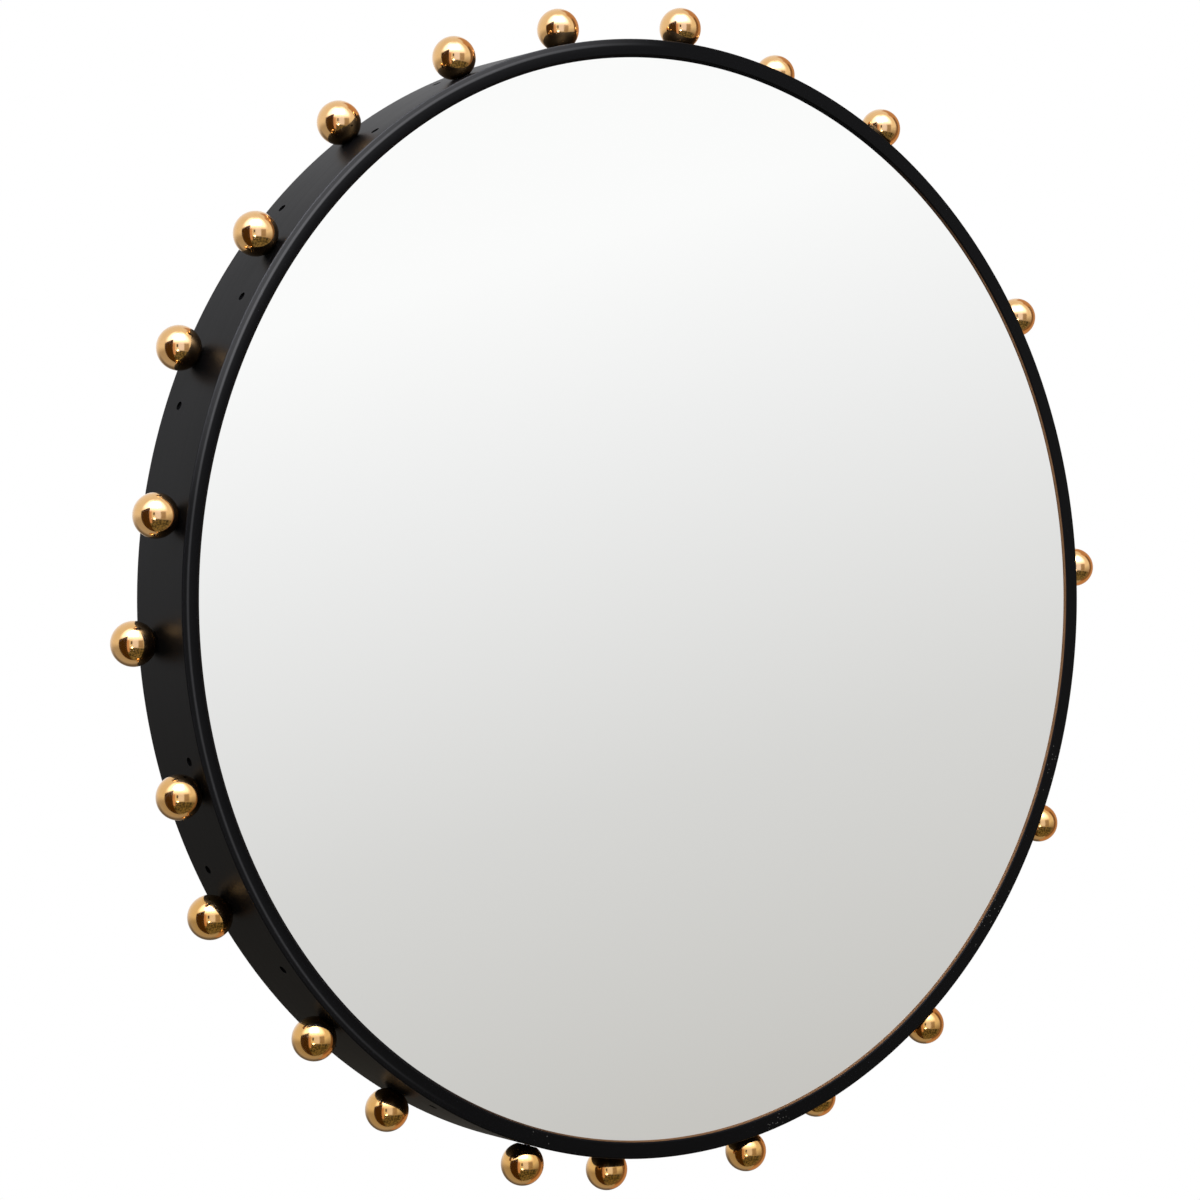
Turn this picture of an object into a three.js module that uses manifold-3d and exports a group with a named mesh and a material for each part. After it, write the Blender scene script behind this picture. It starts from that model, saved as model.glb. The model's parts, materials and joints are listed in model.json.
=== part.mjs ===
// A round wall mirror in a deep black steel hoop, with brass balls screwed round
// the outside of the hoop in two staggered rows, and two hanging rings behind.
// Millimetres and degrees. +Z is up, the mirror faces -Y, and +X is to the right
// of someone who looks at the glass. The origin is the hoop's centre in the plane
// of the wall. Angles run round the hoop from +X towards +Z, as seen from the
// front, and a depth is measured from the hoop's front face towards the wall.
import * as THREE from "three";
import { mergeVertices } from "three/addons/utils/BufferGeometryUtils.js";
import Module from "manifold-3d";

// ---- driving dimensions ----

// the gap kept between pieces that touch
const CLEARANCE = 0.3;

// the hoop: a deep band whose front edge is turned in as a lip
const HOOP_RADIUS = 465;
const HOOP_DEPTH = 73;
const SHEET = 2;
const LIP_WIDTH = 15;
const INNER_BEND = 2;
const EDGE_ROUNDING = 0.8;
const HOOP_STEPS = 120;

// glass, board and the split ring, a rolled angle, that holds them against the lip
const GLASS_THICKNESS = 4;
const EDGE_GAP = 2.5;
// how far the board's back stands behind the heads of the front row's screws
const BOARD_PAST_HEADS = 1.1;
const RETAINER_SHEET = 1.5;
const RETAINER_FLANGE = 12;
const RETAINER_SPLIT = 6;
const ROUND_STEPS = 72;

// the balls: two rows, a ball of one between each two balls of the other
const BALL_RADIUS = 17.5;
const SEAT_RADIUS = 8;
const FRONT_ROW_DEPTH = 19.5;
// from the hoop's rear rim
const BACK_ROW_SETBACK = 23;
// the balls are set out by hand, so they are not quite evenly spaced
const FRONT_ROW_ANGLES = [3.5, 32.5, 60, 88, 116, 144.5, 172.5, 198, 225, 252.5, 280.5, 307.5, 334.5];
const BACK_ROW_ANGLES = [17, 42.5, 72.5, 100.5, 128.5, 156.5, 184, 210.5, 238, 265.5, 293.5, 321.5, 349];
const BALL_STEPS = 14;
const BALL_RINGS = 8;

// the screw of each ball
const SCREW_RADIUS = 2.5;
const SCREW_LENGTH = 16;
const HEAD_RADIUS = 5;
const HEAD_HEIGHT = 3;
const HEAD_RIM = 1.8;
const SLOT_WIDTH = 1.4;
const SLOT_DEPTH = 1.4;
const SCREW_STEPS = 8;

// the second, empty set of holes, which lies in the same two rows
const SPARE_HOLES = 32;
const SPARE_HOLE_RADIUS = 3.5;
const SPARE_HOLE_START = 4;
const SPARE_HOLE_MARGIN = 2;

// the two hangers: a strap with a barrel, and a D-ring that swings in it
const HANGER_ANGLE = 34;
// from the hoop's rear rim to the nearest point of the D-ring
const HANGER_MARGIN = 2;
const STRAP_LENGTH = 45;
const STRAP_WIDTH = 14;
const STRAP_THICKNESS = 1.5;
const WIRE_RADIUS = 1.5;
const BARREL_PLAY = 0.4;
const BARREL_STEPS = 14;
const RING_INNER_WIDTH = 18;
const RING_LEG = 5;
const BAR_OVERHANG = 0.5;
const STRAP_STEPS = 8;
const RING_SIDES = 10;
const RING_STEPS = 16;

// ---- sizes that follow from those ----

const HOOP_INNER = HOOP_RADIUS - SHEET;
const CORNER_RADIUS = INNER_BEND + SHEET;
const LIP_INNER = HOOP_RADIUS - LIP_WIDTH;
const GLASS_FRONT = SHEET + CLEARANCE;
const GLASS_BACK = GLASS_FRONT + GLASS_THICKNESS;
const BOARD_FRONT = GLASS_BACK + CLEARANCE;
const BACK_ROW_DEPTH = HOOP_DEPTH - BACK_ROW_SETBACK;
const BOARD_BACK = FRONT_ROW_DEPTH + HEAD_RADIUS + BOARD_PAST_HEADS;
const GLASS_RADIUS = HOOP_INNER - EDGE_GAP;
const HEAD_SEAT = HOOP_INNER - CLEARANCE;
const HEAD_TOP = HEAD_SEAT - HEAD_HEIGHT;
const BOARD_RADIUS = HEAD_TOP - EDGE_GAP;
const RETAINER_RADIUS = HOOP_INNER - CLEARANCE;
const RETAINER_FRONT = BOARD_BACK + CLEARANCE;
const RETAINER_BACK = BACK_ROW_DEPTH - HEAD_RADIUS - CLEARANCE;
const SEAT_OFFSET = Math.sqrt(BALL_RADIUS ** 2 - SEAT_RADIUS ** 2);
const BALL_SEAT = HOOP_RADIUS + CLEARANCE;
const BALL_CENTRE = BALL_SEAT + SEAT_OFFSET;
const SCREW_TIP = HEAD_SEAT + SCREW_LENGTH;
const THREAD_RADIUS = SCREW_RADIUS + CLEARANCE;
const BARREL_BORE = WIRE_RADIUS + BARREL_PLAY;
const BARREL_RADIUS = BARREL_BORE + STRAP_THICKNESS;
const STRAP_OUTER = HOOP_INNER - CLEARANCE;
const HINGE_RADIUS = STRAP_OUTER - BARREL_RADIUS;
const RING_BEND = RING_INNER_WIDTH / 2 + WIRE_RADIUS;
const RING_REACH = RING_BEND + WIRE_RADIUS + BAR_OVERHANG;
const HINGE_DEPTH = HOOP_DEPTH - HANGER_MARGIN - RING_REACH;

// ---- materials ----

const BLACK_STEEL = new THREE.MeshStandardMaterial({
  color: 0x26262a,
  roughness: 0.42,
  metalness: 0.55,
});
const MIRROR = new THREE.MeshStandardMaterial({
  color: 0xe2e4e2,
  roughness: 0.03,
  metalness: 1,
});
const BRASS = new THREE.MeshStandardMaterial({
  color: 0xcf9a4c,
  roughness: 0.14,
  metalness: 1,
});
const ZINC = new THREE.MeshStandardMaterial({
  color: 0xa9abad,
  roughness: 0.4,
  metalness: 1,
});
const BOARD = new THREE.MeshStandardMaterial({
  color: 0x8a6a48,
  roughness: 0.85,
  metalness: 0,
});

// ---- helpers ----

const wasm = await Module();
wasm.setup();

const radians = THREE.MathUtils.degToRad;

// how far a point at this depth lies along Y
const atDepth = (depth) => depth - HOOP_DEPTH;

// a closed geometry as a solid that can be joined and cut
function solid(geometry) {
  const bare = geometry.clone();
  bare.deleteAttribute("normal");
  bare.deleteAttribute("uv");
  const merged = mergeVertices(bare, 1e-4);
  return new wasm.Manifold(
    new wasm.Mesh({
      numProp: 3,
      vertProperties: new Float32Array(merged.attributes.position.array),
      triVerts: new Uint32Array(merged.index.array),
    }),
  );
}

// a solid as a geometry that can be drawn
function geometryOf(shape) {
  const mesh = shape.getMesh();
  const geometry = new THREE.BufferGeometry();
  geometry.setAttribute("position", new THREE.BufferAttribute(mesh.vertProperties, 3));
  geometry.setIndex(new THREE.BufferAttribute(mesh.triVerts, 1));
  const flat = geometry.toNonIndexed();
  flat.computeVertexNormals();
  return flat;
}

// an arc of profile points round (x, y), from one angle to another
function arc(x, y, radius, from, to, steps) {
  const points = [];
  for (let i = 0; i <= steps; i++) {
    const angle = radians(from + ((to - from) * i) / steps);
    points.push(new THREE.Vector2(x + radius * Math.cos(angle), y + radius * Math.sin(angle)));
  }
  return points;
}

// a disc between two depths
function disc(radius, front, back) {
  const points = [
    new THREE.Vector2(0, atDepth(front)),
    new THREE.Vector2(radius, atDepth(front)),
    new THREE.Vector2(radius, atDepth(back)),
    new THREE.Vector2(0, atDepth(back)),
  ];
  return new THREE.LatheGeometry(points, ROUND_STEPS);
}

// an outline seen from the front, filled between two depths, each of whose arcs
// is cut into the given number of straight steps
function slab(outline, front, back, steps) {
  const geometry = new THREE.ExtrudeGeometry(outline, {
    depth: back - front,
    bevelEnabled: false,
    curveSegments: steps / 2,
  });
  geometry.rotateX(Math.PI / 2);
  geometry.translate(0, atDepth(back), 0);
  return geometry;
}

// a sector of a flat ring
function sector(inner, outer, from, to) {
  const outline = new THREE.Shape();
  outline.absarc(0, 0, outer, radians(from), radians(to), false);
  outline.absarc(0, 0, inner, radians(to), radians(from), true);
  return outline;
}

// a cylinder along the hoop's radius at an angle and a depth
function radialCylinder(radius, from, to, angle, depth, steps) {
  const geometry = new THREE.CylinderGeometry(radius, radius, to - from, steps);
  geometry.translate(0, (from + to) / 2, 0);
  geometry.rotateX(Math.PI / 2);
  geometry.rotateY(Math.PI / 2 - radians(angle));
  geometry.translate(0, atDepth(depth), 0);
  return geometry;
}

const part = new THREE.Group();

function add(name, geometry, material, parent = part) {
  const mesh = new THREE.Mesh(geometry, material);
  mesh.name = name;
  parent.add(mesh);
  return mesh;
}

// ---- where the balls and the empty holes are ----

const balls = [];
FRONT_ROW_ANGLES.forEach((angle, i) => {
  balls.push({ row: "front", number: i + 1, angle, depth: FRONT_ROW_DEPTH });
});
BACK_ROW_ANGLES.forEach((angle, i) => {
  balls.push({ row: "back", number: i + 1, angle, depth: BACK_ROW_DEPTH });
});

// every second empty hole is in the front row, and none lies under a ball
const spareHoles = [];
for (let i = 0; i < SPARE_HOLES; i++) {
  const angle = SPARE_HOLE_START + (360 * i) / SPARE_HOLES;
  const inFront = i % 2 === 1;
  const depth = inFront ? FRONT_ROW_DEPTH : BACK_ROW_DEPTH;
  const angles = inFront ? FRONT_ROW_ANGLES : BACK_ROW_ANGLES;
  if (angles.every((ball) => Math.abs(ball - angle) > SPARE_HOLE_MARGIN)) {
    spareHoles.push({ angle, depth });
  }
}

// ---- the hoop ----

function hoopProfile() {
  const bendX = HOOP_RADIUS - CORNER_RADIUS;
  const bendY = atDepth(CORNER_RADIUS);
  const innerX = HOOP_INNER - INNER_BEND;
  const innerY = atDepth(SHEET + INNER_BEND);
  const e = EDGE_ROUNDING;
  const points = [
    new THREE.Vector2(HOOP_INNER, 0),
    new THREE.Vector2(HOOP_RADIUS - e, 0),
    new THREE.Vector2(HOOP_RADIUS, -e),
    ...arc(bendX, bendY, CORNER_RADIUS, 0, -90, 4),
    new THREE.Vector2(LIP_INNER + e, atDepth(0)),
    new THREE.Vector2(LIP_INNER, atDepth(e)),
    new THREE.Vector2(LIP_INNER, atDepth(SHEET)),
    ...arc(innerX, innerY, INNER_BEND, -90, 0, 1),
  ];
  points.push(points[0].clone());
  return points.reverse();
}

let hoop = solid(new THREE.LatheGeometry(hoopProfile(), HOOP_STEPS));
const cutFrom = HOOP_INNER - SHEET;
const cutTo = HOOP_RADIUS + SHEET;
for (const { angle, depth } of balls) {
  const hole = radialCylinder(THREAD_RADIUS, cutFrom, cutTo, angle, depth, SCREW_STEPS);
  hoop = hoop.subtract(solid(hole));
}
for (const { angle, depth } of spareHoles) {
  const hole = radialCylinder(SPARE_HOLE_RADIUS, cutFrom, cutTo, angle, depth, SCREW_STEPS);
  hoop = hoop.subtract(solid(hole));
}
add("frame_hoop", geometryOf(hoop), BLACK_STEEL);

// ---- glass, board and retaining ring ----

add("mirror_glass", disc(GLASS_RADIUS, GLASS_FRONT, GLASS_BACK), MIRROR);
add("backing_board", disc(BOARD_RADIUS, BOARD_FRONT, BOARD_BACK), BOARD);

// one leg of the angle lies against the hoop, the other over the board's edge
function retainerProfile() {
  const flangeEdge = RETAINER_RADIUS - RETAINER_FLANGE;
  const legInside = RETAINER_RADIUS - RETAINER_SHEET;
  const flangeBack = RETAINER_FRONT + RETAINER_SHEET;
  return [
    new THREE.Vector2(flangeEdge, atDepth(RETAINER_FRONT)),
    new THREE.Vector2(RETAINER_RADIUS, atDepth(RETAINER_FRONT)),
    new THREE.Vector2(RETAINER_RADIUS, atDepth(RETAINER_BACK)),
    new THREE.Vector2(legInside, atDepth(RETAINER_BACK)),
    new THREE.Vector2(legInside, atDepth(flangeBack)),
    new THREE.Vector2(flangeEdge, atDepth(flangeBack)),
    new THREE.Vector2(flangeEdge, atDepth(RETAINER_FRONT)),
  ];
}

// the ring's two ends stand a little apart at the bottom
const split = new THREE.BoxGeometry(RETAINER_SPLIT, HOOP_DEPTH, HOOP_RADIUS);
split.translate(0, -HOOP_DEPTH / 2, -HOOP_RADIUS / 2);
const wholeRing = solid(new THREE.LatheGeometry(retainerProfile(), ROUND_STEPS));
add("retaining_ring", geometryOf(wholeRing.subtract(solid(split))), ZINC);

// ---- balls and their screws ----

// a ball on its seat, with the blind hole that takes the screw
function ballGeometry() {
  const bottom = SCREW_TIP + CLEARANCE - BALL_CENTRE;
  const seatAngle = THREE.MathUtils.radToDeg(Math.asin(SEAT_RADIUS / BALL_RADIUS));
  const points = [
    new THREE.Vector2(0, bottom),
    new THREE.Vector2(THREAD_RADIUS, bottom),
    new THREE.Vector2(THREAD_RADIUS, -SEAT_OFFSET),
    ...arc(0, 0, BALL_RADIUS, seatAngle - 90, 90, BALL_RINGS),
  ];
  points[points.length - 1].x = 0;
  return new THREE.LatheGeometry(points, BALL_STEPS);
}

// a slotted screw whose head seats at the origin and whose shank runs along Y
function screwGeometry() {
  const topRadius = HEAD_RADIUS - (HEAD_HEIGHT - HEAD_RIM);
  const points = [
    new THREE.Vector2(0, -HEAD_HEIGHT),
    new THREE.Vector2(topRadius, -HEAD_HEIGHT),
    new THREE.Vector2(HEAD_RADIUS, -HEAD_RIM),
    new THREE.Vector2(HEAD_RADIUS, 0),
    new THREE.Vector2(SCREW_RADIUS, 0),
    new THREE.Vector2(SCREW_RADIUS, SCREW_LENGTH),
    new THREE.Vector2(0, SCREW_LENGTH),
  ];
  const slot = new THREE.BoxGeometry(SLOT_WIDTH, 2 * SLOT_DEPTH, 3 * HEAD_RADIUS);
  slot.translate(0, -HEAD_HEIGHT, 0);
  const blank = solid(new THREE.LatheGeometry(points, SCREW_STEPS));
  return geometryOf(blank.subtract(solid(slot)));
}

const ballShape = ballGeometry();
const screwShape = screwGeometry();

for (const { row, number, angle, depth } of balls) {
  // a group whose own Y runs out along the hoop's radius
  const station = new THREE.Group();
  station.rotation.set(Math.PI / 2, Math.PI / 2 - radians(angle), 0, "YXZ");
  station.position.set(0, atDepth(depth), 0);
  part.add(station);
  const label = String(number).padStart(2, "0");
  add("ball_" + row + "_" + label, ballShape, BRASS, station).position.y = BALL_CENTRE;
  add("screw_" + row + "_" + label, screwShape, ZINC, station).position.y = HEAD_SEAT;
}

// ---- hangers ----

// the strap: a strip that follows the hoop's inside, and a barrel at its upper end
function strapGeometry() {
  const front = HINGE_DEPTH - STRAP_WIDTH / 2;
  const back = HINGE_DEPTH + STRAP_WIDTH / 2;
  const span = THREE.MathUtils.radToDeg(STRAP_LENGTH / STRAP_OUTER);
  const strip = sector(
    STRAP_OUTER - STRAP_THICKNESS,
    STRAP_OUTER,
    HANGER_ANGLE - span,
    HANGER_ANGLE,
  );
  const x = HINGE_RADIUS * Math.cos(radians(HANGER_ANGLE));
  const z = HINGE_RADIUS * Math.sin(radians(HANGER_ANGLE));
  const barrel = new THREE.Shape().absarc(x, z, BARREL_RADIUS, 0, 2 * Math.PI, false);
  const bore = new THREE.Shape().absarc(x, z, BARREL_BORE, 0, 2 * Math.PI, false);
  return solid(slab(strip, front, back, STRAP_STEPS))
    .add(solid(slab(barrel, front, back, BARREL_STEPS)))
    .subtract(solid(slab(bore, front - CLEARANCE, back + CLEARANCE, BARREL_STEPS)));
}

// the bow of a D-ring: a leg down, half a circle, and a leg up again
class Bow extends THREE.Curve {
  getPoint(t) {
    const turn = Math.PI * RING_BEND;
    const along = t * (2 * RING_LEG + turn);
    if (along < RING_LEG) return new THREE.Vector3(0, RING_BEND, -along);
    if (along > RING_LEG + turn) {
      return new THREE.Vector3(0, -RING_BEND, along - 2 * RING_LEG - turn);
    }
    const angle = (along - RING_LEG) / RING_BEND;
    const y = RING_BEND * Math.cos(angle);
    const z = -RING_LEG - RING_BEND * Math.sin(angle);
    return new THREE.Vector3(0, y, z);
  }
}

// the D-ring hanging from its straight side, whose axis runs along Y
function ringGeometry() {
  const section = new THREE.Shape().absarc(0, 0, WIRE_RADIUS, 0, 2 * Math.PI, false);
  const bow = new THREE.ExtrudeGeometry(section, {
    steps: RING_STEPS,
    curveSegments: RING_SIDES / 2,
    extrudePath: new Bow(),
  });
  const bar = new THREE.CylinderGeometry(WIRE_RADIUS, WIRE_RADIUS, 2 * RING_REACH, RING_SIDES);
  return solid(bow).add(solid(bar));
}

const strapShape = geometryOf(strapGeometry());
const ringShape = geometryOf(ringGeometry());
for (const side of ["right", "left"]) {
  const sign = side === "right" ? 1 : -1;
  // the left hanger is the right one mirrored in the hoop's upright middle plane
  const half = new THREE.Group();
  half.scale.x = sign;
  part.add(half);
  add("hanger_strap_" + side, strapShape, ZINC, half);
  add("hanger_ring_" + side, ringShape, ZINC, half).position.set(
    HINGE_RADIUS * Math.cos(radians(HANGER_ANGLE)),
    atDepth(HINGE_DEPTH),
    HINGE_RADIUS * Math.sin(radians(HANGER_ANGLE)),
  );
}

export default part;
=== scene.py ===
"""The visible pieces, finishes, light and camera of a round wall mirror in a black
steel hoop with brass balls. Metres, +Z up; the mirror faces -Y, and the origin is
the hoop's centre in the plane of the wall."""

import json
import math

import bmesh
import bpy
from bpy.props import FloatProperty, FloatVectorProperty, IntProperty, PointerProperty
from mathutils import Matrix, Vector


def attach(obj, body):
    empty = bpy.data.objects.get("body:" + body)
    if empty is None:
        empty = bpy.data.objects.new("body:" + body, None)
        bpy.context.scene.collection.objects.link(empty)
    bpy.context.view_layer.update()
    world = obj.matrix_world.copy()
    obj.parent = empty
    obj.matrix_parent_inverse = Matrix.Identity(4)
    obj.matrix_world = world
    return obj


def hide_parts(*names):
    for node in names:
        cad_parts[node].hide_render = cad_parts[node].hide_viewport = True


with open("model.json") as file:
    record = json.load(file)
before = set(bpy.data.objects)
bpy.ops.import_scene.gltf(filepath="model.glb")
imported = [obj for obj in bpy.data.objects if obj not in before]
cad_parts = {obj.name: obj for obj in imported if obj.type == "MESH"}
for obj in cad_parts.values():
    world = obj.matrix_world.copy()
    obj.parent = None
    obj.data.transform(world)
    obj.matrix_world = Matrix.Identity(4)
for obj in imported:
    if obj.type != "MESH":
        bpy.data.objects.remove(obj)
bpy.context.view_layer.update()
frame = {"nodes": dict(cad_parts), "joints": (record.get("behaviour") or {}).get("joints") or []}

bl_info = {
    "name": "Ball-rimmed round mirror",
    "version": (1, 0, 0),
    "blender": (4, 5, 0),
    "location": "3D View > Sidebar > Mirror",
    "description": "Makes the pieces, finishes and stage of a round mirror with brass balls",
    "category": "Add Mesh",
}


# ---- what the frame says ----


def ring_of(node):
    """A node's least and greatest distance from the hoop's axis, its front and its back."""
    points = [vertex.co for vertex in frame["nodes"][node].data.vertices]
    radii = [math.hypot(point.x, point.z) for point in points]
    depths = [point.y for point in points]
    return min(radii), max(radii), min(depths), max(depths)


def middle_of(node):
    """The mean of a node's points, which lies on the axis of a turned piece."""
    points = [vertex.co for vertex in frame["nodes"][node].data.vertices]
    return sum(points, Vector()) / len(points)


def radial(angle):
    """The direction out of the hoop's axis at an angle from +X towards +Z."""
    return Vector((math.cos(angle), 0, math.sin(angle)))


def angle_of(point):
    return math.atan2(point.z, point.x)


AXIS = Vector((0, 1, 0))
# anticlockwise as seen from the front
ROUND = -AXIS
# flat sides that stand for a circle
HOOP_SIDES = 480
PLATE_SIDES = 240
SCREW_SIDES = 40
HOLE_SIDES = 32
WIRE_SIDES = 20
BALL_HOLE_DEPTH = 0.012
LIP_INNER, HOOP_RADIUS, HOOP_FRONT, HOOP_BACK = ring_of("frame_hoop")
GLASS_RADIUS, GLASS_FRONT, GLASS_BACK = ring_of("mirror_glass")[1:]
BOARD_RADIUS, BOARD_FRONT, BOARD_BACK = ring_of("backing_board")[1:]
FLANGE_RADIUS, RETAINER_RADIUS, RETAINER_FRONT, RETAINER_BACK = ring_of("retaining_ring")
STRAP_RADIUS, STRAP_FRONT, STRAP_BACK = ring_of("hanger_strap_right")[1:]
BALLS = [name for name in sorted(frame["nodes"]) if name.startswith("ball_")]
SCREWS = [name for name in sorted(frame["nodes"]) if name.startswith("screw_")]
HINGE = Vector(
    next(joint for joint in frame["joints"] if joint["child"] == "ring_right")["pos_m"]
)


# ---- sizes and colours that a user would change ----


class HoopSettings(bpy.types.PropertyGroup):
    """The rolled steel hoop."""

    sheet: FloatProperty(
        name="Sheet", description="Thickness of the hoop's steel", default=0.002, unit="LENGTH"
    )
    corner: FloatProperty(
        name="Corner", description="Rounding of the hoop's front edge", default=0.0012, unit="LENGTH"
    )
    inner_bend: FloatProperty(
        name="Inner bend", description="Rounding behind the lip", default=0.002, unit="LENGTH"
    )
    # where the painted highlight along the lip lies
    painted_highlight_inset: FloatProperty(
        name="Painted highlight", description="How far in from the hoop's edge the lip's pale line lies",
        default=0.0047, unit="LENGTH",
    )
    bevel: FloatProperty(
        name="Lip bevel", description="Width of the bevel round the opening", default=0.0022, unit="LENGTH"
    )
    edge: FloatProperty(
        name="Edges", description="Rounding of the sheet's edges", default=0.0008, unit="LENGTH"
    )
    hole: FloatProperty(
        name="Empty holes", description="Radius of the empty holes", default=0.0035, unit="LENGTH"
    )
    hole_depth: FloatProperty(
        name="Hole depth", description="Depth of the empty holes", default=0.0016, unit="LENGTH"
    )
    holes: IntProperty(
        name="Hole places", description="Places round the hoop in the empty pattern", default=32
    )
    first_hole: FloatProperty(
        name="First hole", description="Angle of the first place", default=math.radians(4),
        unit="ROTATION",
    )
    paint: FloatVectorProperty(
        name="Paint", description="Colour of the satin paint, as dark as the photo's blacks",
        default=(0.0018, 0.0018, 0.002), subtype="COLOR",
    )
    primer: FloatVectorProperty(
        name="Primer", description="Colour behind the lip", default=(0.25, 0.13, 0.062),
        subtype="COLOR",
    )


class BallSettings(bpy.types.PropertyGroup):
    """The brass balls and their screws."""

    radius: FloatProperty(
        name="Radius", description="Radius of a ball", default=0.0175, unit="LENGTH"
    )
    seat: FloatProperty(
        name="Seat", description="Radius of the flat that meets the hoop", default=0.008, unit="LENGTH"
    )
    bore: FloatProperty(
        name="Bore", description="Radius of the blind hole for the screw", default=0.0028, unit="LENGTH"
    )
    brass: FloatVectorProperty(
        name="Brass", description="Colour of the polished brass", default=(0.78, 0.47, 0.19),
        subtype="COLOR",
    )
    # colour of the balls towards the bottom of the hoop, which are darker and warmer
    lower_brass: FloatVectorProperty(
        name="Lower brass", description="Colour of the balls low on the hoop",
        default=(0.66, 0.36, 0.09), subtype="COLOR",
    )
    shank: FloatProperty(
        name="Shank", description="Radius of a screw", default=0.0025, unit="LENGTH"
    )
    head: FloatProperty(
        name="Head", description="Radius of a screw's head", default=0.005, unit="LENGTH"
    )
    head_height: FloatProperty(
        name="Head height", description="Height of a screw's head", default=0.003, unit="LENGTH"
    )
    slot: FloatProperty(
        name="Slot", description="Width and depth of a screw's slot", default=0.0014, unit="LENGTH"
    )


class BackSettings(bpy.types.PropertyGroup):
    """The pane and what holds it."""

    arris: FloatProperty(
        name="Arris", description="Ground edge of the glass", default=0.0006, unit="LENGTH"
    )
    chamfer: FloatProperty(
        name="Chamfer", description="Broken edge of the board", default=0.0008, unit="LENGTH"
    )
    angle_sheet: FloatProperty(
        name="Angle", description="Thickness of the retaining ring's steel", default=0.0015, unit="LENGTH"
    )
    split: FloatProperty(
        name="Split", description="Gap between the retaining ring's ends", default=0.006, unit="LENGTH"
    )
    silver: FloatVectorProperty(
        name="Silver", description="Colour of the silvering", default=(0.9, 0.905, 0.9), subtype="COLOR"
    )
    fibre: FloatVectorProperty(
        name="Board", description="Colour of the fibreboard", default=(0.34, 0.215, 0.12), subtype="COLOR"
    )


class HangerSettings(bpy.types.PropertyGroup):
    """The straps and the rings that hang the mirror."""

    sheet: FloatProperty(
        name="Strap", description="Thickness of a strap", default=0.0015, unit="LENGTH"
    )
    length: FloatProperty(
        name="Length", description="Length of a strap", default=0.045, unit="LENGTH"
    )
    wire: FloatProperty(
        name="Wire", description="Radius of a ring's wire", default=0.0015, unit="LENGTH"
    )
    bend: FloatProperty(
        name="Bend", description="Radius of a ring's bow", default=0.0105, unit="LENGTH"
    )
    leg: FloatProperty(
        name="Leg", description="Straight part of the bow", default=0.005, unit="LENGTH"
    )
    bar: FloatProperty(
        name="Bar", description="Length of a ring's straight side", default=0.025, unit="LENGTH"
    )
    zinc: FloatVectorProperty(
        name="Zinc", description="Colour of the zinc plating", default=(0.56, 0.57, 0.58), subtype="COLOR"
    )


class StageSettings(bpy.types.PropertyGroup):
    """Camera, floor and light."""

    camera: FloatVectorProperty(
        name="Camera", description="Where the camera stands", default=(-1.5322, -2.073, 0.0029),
        subtype="TRANSLATION",
    )
    heading: FloatProperty(
        name="Heading", description="Turn of the camera from +Y towards +X",
        default=math.radians(35.968), unit="ROTATION",
    )
    tilt: FloatProperty(
        name="Tilt", description="Camera's angle above the horizon", default=math.radians(-0.084),
        unit="ROTATION",
    )
    lens: FloatProperty(
        name="Lens", description="Focal length on a 36 mm sensor", default=90.52, unit="CAMERA"
    )
    floor_drop: FloatProperty(
        name="Floor", description="Floor below the mirror's centre", default=1.25, unit="LENGTH"
    )
    floor_radius: FloatProperty(
        name="Floor radius", description="Radius of the floor", default=3.0, unit="LENGTH"
    )
    softbox: FloatProperty(
        name="Softbox", description="Power of the large softbox", default=42.0, unit="POWER"
    )
    ambient: FloatProperty(
        name="Ambient", description="Level of the light from all round", default=0.45
    )


GROUPS = {
    "hoop": HoopSettings,
    "balls": BallSettings,
    "back": BackSettings,
    "hangers": HangerSettings,
    "stage": StageSettings,
}


class MirrorSettings(bpy.types.PropertyGroup):
    """All settings of the mirror."""

    hoop: PointerProperty(type=HoopSettings)
    balls: PointerProperty(type=BallSettings)
    back: PointerProperty(type=BackSettings)
    hangers: PointerProperty(type=HangerSettings)
    stage: PointerProperty(type=StageSettings)


def settings():
    return bpy.context.scene.ball_mirror


# ---- materials: wiring ----


class Wire:
    """An output socket. Arithmetic on it adds Math nodes."""

    def __init__(self, shading, socket):
        self.shading = shading
        self.socket = socket

    def __add__(self, other):
        return self.shading.math("ADD", self, other)

    def __radd__(self, other):
        return self.shading.math("ADD", other, self)

    def __sub__(self, other):
        return self.shading.math("SUBTRACT", self, other)

    def __rsub__(self, other):
        return self.shading.math("SUBTRACT", other, self)

    def __mul__(self, other):
        return self.shading.math("MULTIPLY", self, other)

    def __rmul__(self, other):
        return self.shading.math("MULTIPLY", other, self)


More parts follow.
